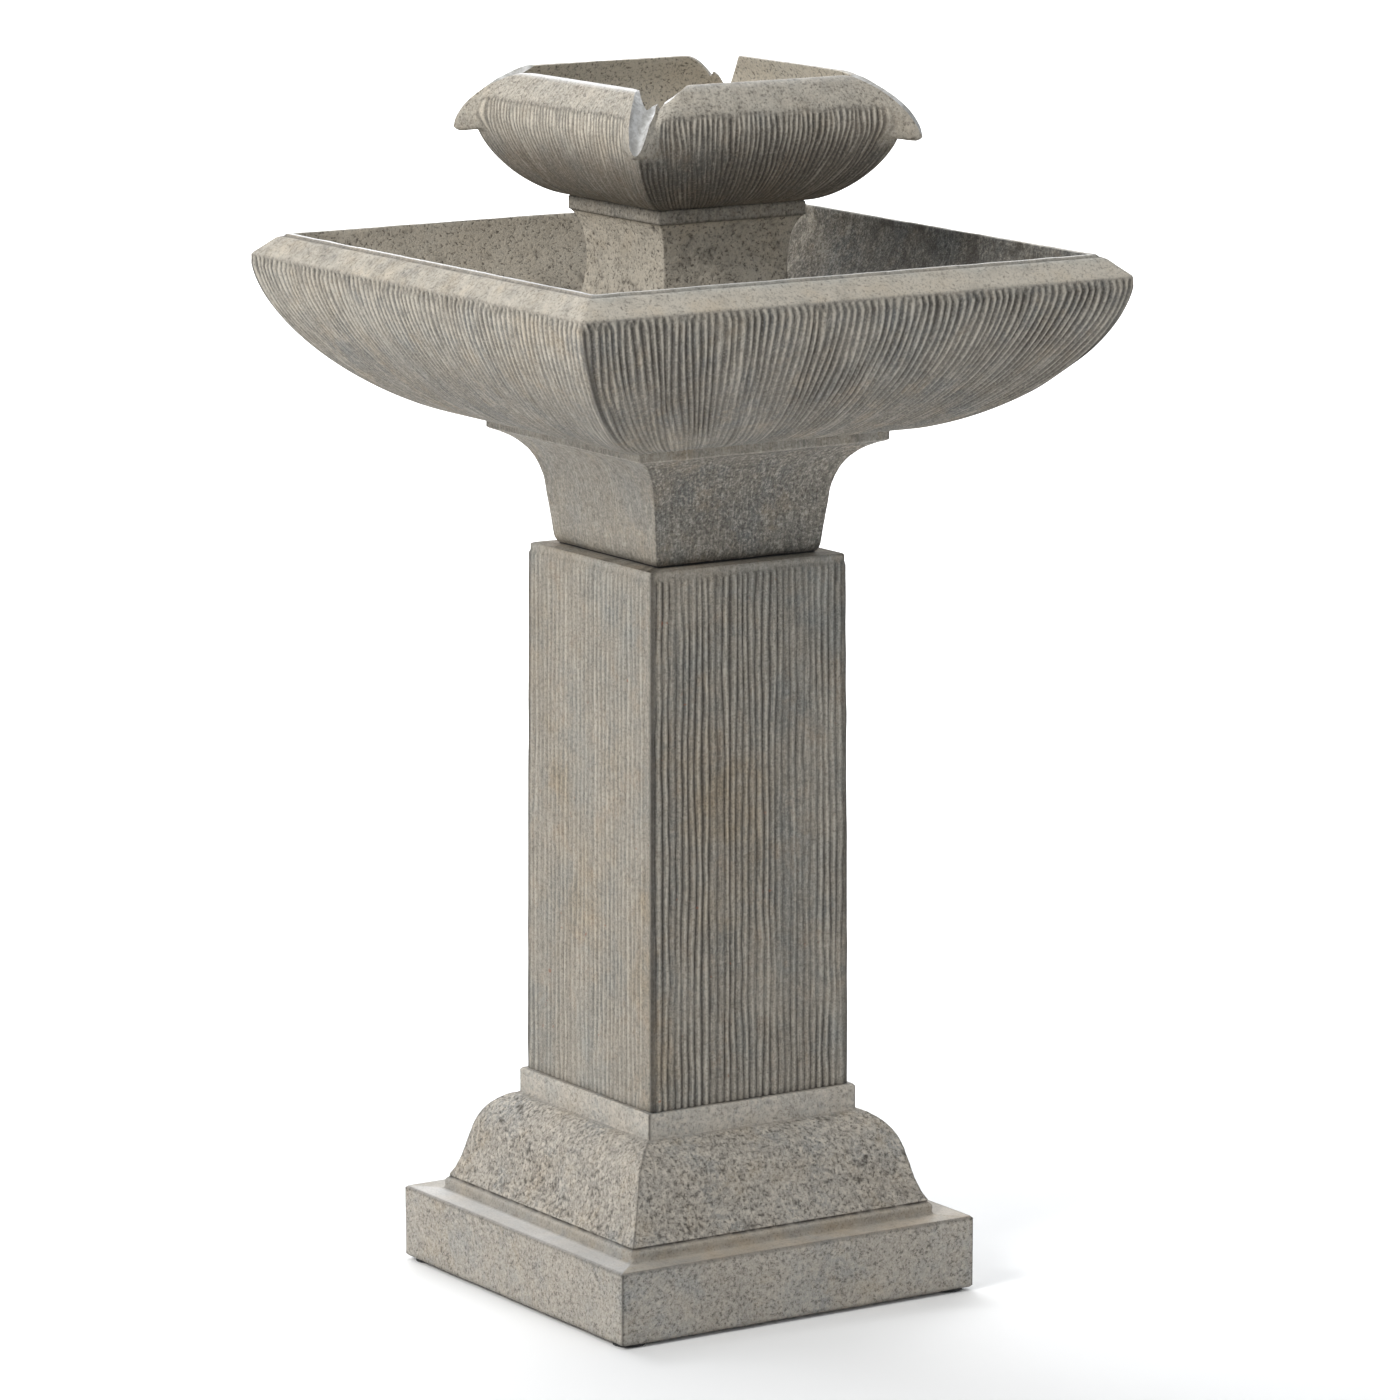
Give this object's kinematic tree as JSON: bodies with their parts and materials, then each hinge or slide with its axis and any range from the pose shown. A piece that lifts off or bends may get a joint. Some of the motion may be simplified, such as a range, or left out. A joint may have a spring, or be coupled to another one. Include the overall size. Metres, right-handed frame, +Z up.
{
  "type": "bird bath",
  "caption": "Square two-tier fountain bird bath: cast pedestal and column, wide combed basin, and a small top bowl with corner spouts over a self-contained solar pump.",
  "frame": {"origin": "on the ground below the middle of the plinth", "axes": "+Z up; X and Y square to the plinth's sides"},
  "size_m": [0.4352, 0.4352, 0.838],
  "materials": {
    "stone_pedestal": "hammered cast resin, taupe and cream dry-brushed over a dark wash, matt",
    "stone_column": "combed vertical ridges, dark grey-brown grooves, matt",
    "stone_basin": "combed flank, smooth cream rim, hammered inside, matt",
    "stone_bowl": "combed flank, darker below, smooth slightly glossy spout channels",
    "black_rubber": "matt black rubber",
    "zinc_steel": "zinc plated",
    "stainless_screw": "stainless",
    "pump_plastic": "moulded black, fine texture",
    "grey_plastic": "moulded dark grey",
    "lead_jacket": "black lead jacket",
    "hose_vinyl": "milky vinyl",
    "ceramic_shaft": "polished white ceramic",
    "ferrite_magnet": "dark sintered ferrite",
    "stator_lamination": "laminated steel core",
    "solar_cells": "dark blue silicon cells behind glass",
    "clear_window": "clear polycarbonate",
    "cell_wrap": "green shrink wrap"
  },
  "bodies": {
    "pedestal": {"base_casting": "stone_pedestal", "foot_pad_1": "black_rubber", "foot_pad_2": "black_rubber", "foot_pad_3": "black_rubber", "foot_pad_4": "black_rubber", "column_casting": "stone_column", "column_bolt_1": "zinc_steel", "column_bolt_2": "zinc_steel", "column_bolt_3": "zinc_steel", "column_bolt_4": "zinc_steel"},
    "basin": {"basin_casting": "stone_basin", "basin_seat_gasket": "black_rubber"},
    "top_tier": {"stem_casting": "stone_basin", "top_bowl": "stone_bowl", "intake_tray": "grey_plastic", "tray_screw_1": "stainless_screw", "tray_screw_2": "stainless_screw", "tray_screw_3": "stainless_screw", "tray_screw_4": "stainless_screw", "bulkhead_fitting": "grey_plastic", "bulkhead_seal": "black_rubber", "bulkhead_nut": "grey_plastic", "riser_hose": "hose_vinyl", "hose_clip_lower": "stainless_screw", "hose_clip_upper": "stainless_screw", "pump_body": "pump_plastic", "pump_front_cover": "pump_plastic", "pump_o_ring": "black_rubber", "pump_rear_cover": "pump_plastic", "intake_strainer": "pump_plastic", "impeller_shaft": "ceramic_shaft", "shaft_bush_front": "black_rubber", "shaft_bush_rear": "black_rubber", "stator_core": "stator_lamination", "suction_cup_1": "black_rubber", "suction_cup_2": "black_rubber", "suction_cup_3": "black_rubber", "suction_cup_4": "black_rubber", "solar_panel_housing": "grey_plastic", "solar_cell_plate": "solar_cells", "panel_window": "clear_window", "panel_seal": "black_rubber", "panel_screw_1": "stainless_screw", "panel_screw_2": "stainless_screw", "panel_screw_3": "stainless_screw", "panel_screw_4": "stainless_screw", "battery_box": "grey_plastic", "battery_lid": "grey_plastic", "battery_cell_1": "cell_wrap", "battery_cell_2": "cell_wrap", "battery_cell_3": "cell_wrap", "panel_lead": "lead_jacket", "pump_lead": "lead_jacket", "lead_grommet": "black_rubber"},
    "nozzle_cap": {"nozzle_cap": "grey_plastic"},
    "flow_knob": {"flow_knob": "grey_plastic"},
    "impeller": {"impeller": "grey_plastic", "rotor_magnet": "ferrite_magnet"},
    "power_button": {"power_button": "black_rubber"}
  },
  "joints": [
    {"name": "basin_lift", "type": "slide", "parent": "pedestal", "child": "basin", "axis": [0, 0, 1], "range_m": [0, 0.1]},
    {"name": "top_tier_lift", "type": "slide", "parent": "basin", "child": "top_tier", "axis": [0, 0, 1], "range_m": [0, 0.15]},
    {"name": "nozzle_cap_pull", "type": "slide", "parent": "top_tier", "child": "nozzle_cap", "axis": [0, 0, 1], "range_m": [0, 0.03]},
    {"name": "flow_knob_turn", "type": "hinge", "parent": "top_tier", "child": "flow_knob", "pos_m": [-0.0334, 0, 0.6336], "axis": [1, 0, 0], "range_deg": [0, 90]},
    {"name": "impeller_spin", "type": "hinge", "parent": "top_tier", "child": "impeller", "pos_m": [0, 0, 0.6456], "axis": [1, 0, 0], "continuous": true},
    {"name": "power_button_press", "type": "slide", "parent": "top_tier", "child": "power_button", "axis": [0, 0, -1], "range_m": [0, 0.0015], "stiffness_N_per_m": 400, "springref_m": -0.001}
  ]
}
